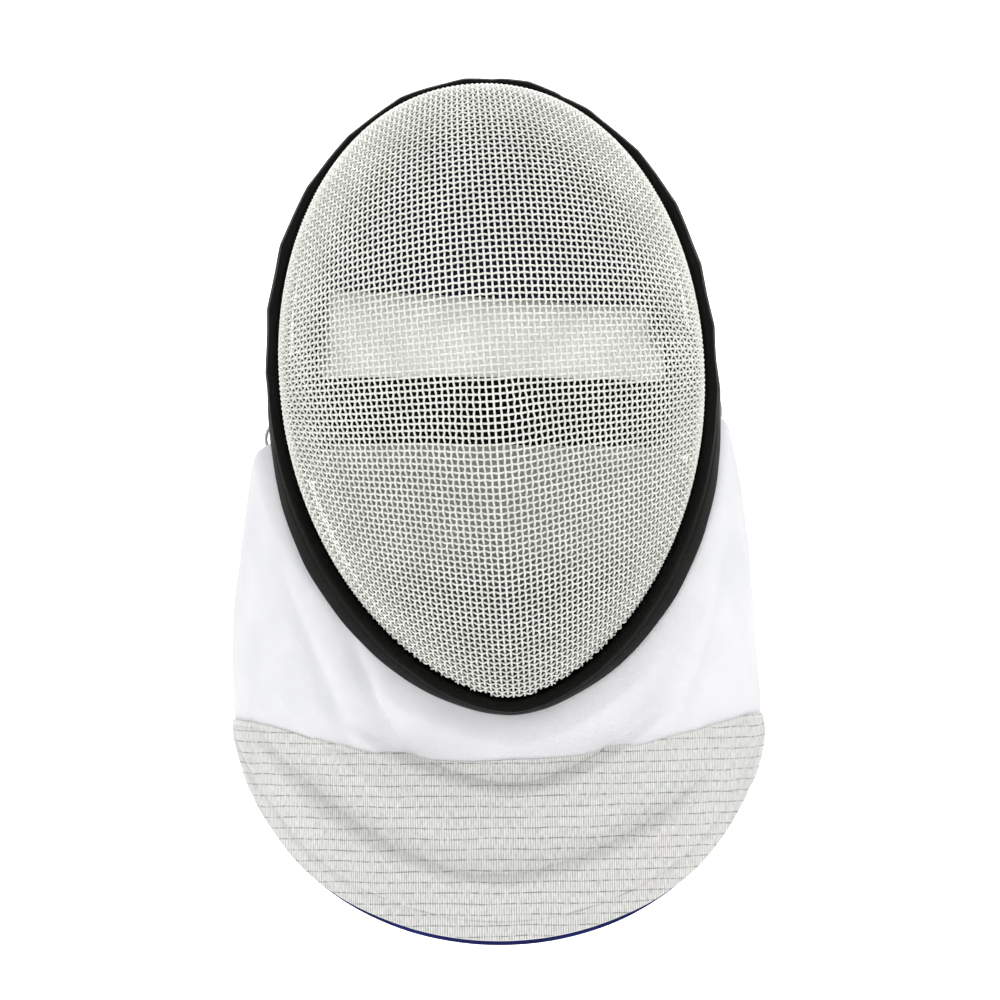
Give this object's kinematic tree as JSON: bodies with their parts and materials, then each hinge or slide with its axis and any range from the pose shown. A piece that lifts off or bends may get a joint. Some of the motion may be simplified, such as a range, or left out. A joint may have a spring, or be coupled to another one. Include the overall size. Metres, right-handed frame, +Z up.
{
  "type": "fencing mask",
  "caption": "foil fencing mask with a formed wire mesh face, a dark bound edge and a padded white bib with a conductive lower band",
  "frame": {"origin": "where the crown liner rests on the top of the head, midway between left and right", "axes": "+Z up through the crown, -Y out of the front of the face, +X to the right as seen from the front"},
  "size_m": [0.2392, 0.249, 0.3855],
  "materials": {
    "painted_mesh": "cream-white coated wire",
    "black_binding": "satin coated tape",
    "white_cloth": "dense white woven cloth",
    "conductive_cloth": "silvery metallised weave",
    "navy_cloth": "navy lining cloth",
    "liner_cloth": "dark navy padded cloth",
    "pad_white": "white padded cloth",
    "pad_grey": "soft pale padded cloth",
    "ring_wire": "bent round wire",
    "elastic_black": "wide black elastic"
  },
  "bodies": {
    "root": {"mesh_shell": "painted_mesh", "trim_border": "black_binding", "bib": "white_cloth", "lame_band": "conductive_cloth", "bib_lining": "navy_cloth", "crown_liner": "liner_cloth", "forehead_pad": "pad_white", "chin_pad": "pad_grey", "strap_ring_left": "ring_wire", "strap_ring_right": "ring_wire", "back_strap": "elastic_black"}
  },
  "joints": []
}
